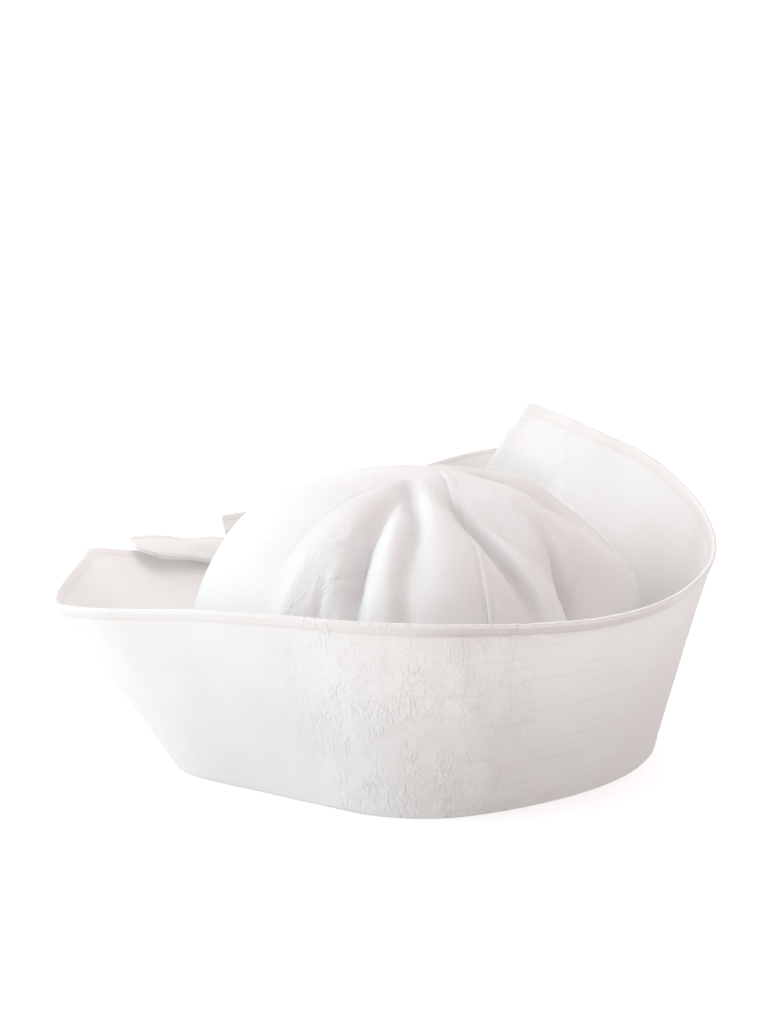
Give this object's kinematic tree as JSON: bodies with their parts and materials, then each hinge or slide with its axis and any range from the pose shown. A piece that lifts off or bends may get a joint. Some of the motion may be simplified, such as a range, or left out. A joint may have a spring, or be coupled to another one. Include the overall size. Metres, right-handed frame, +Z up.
{
  "type": "sailor cap",
  "caption": "White cotton sailor cap with a puffed, creased crown and a wide turned-up quilted brim that is slit at the back and has ties.",
  "frame": {"origin": "middle of the cap's outline seen from above, at the level of the fold of the brim that it rests on", "axes": "+Z up through the crown, -Y to the front of the cap, +X to the cap's right in its front view"},
  "size_m": [0.266, 0.296, 0.119],
  "materials": {
    "quilted_cotton": "matt quilted white cotton, slightly pink-grey in the shade",
    "crown_cotton": "matt crinkled white cotton",
    "tie_cotton": "matt cream cotton tape"
  },
  "bodies": {
    "root": {"brim": "quilted_cotton", "crown_gore_1": "crown_cotton", "crown_gore_2": "crown_cotton", "crown_gore_3": "crown_cotton", "crown_gore_4": "crown_cotton", "crown_gore_5": "crown_cotton", "crown_gore_6": "crown_cotton", "tie_left": "tie_cotton", "tie_right": "tie_cotton"}
  },
  "joints": []
}
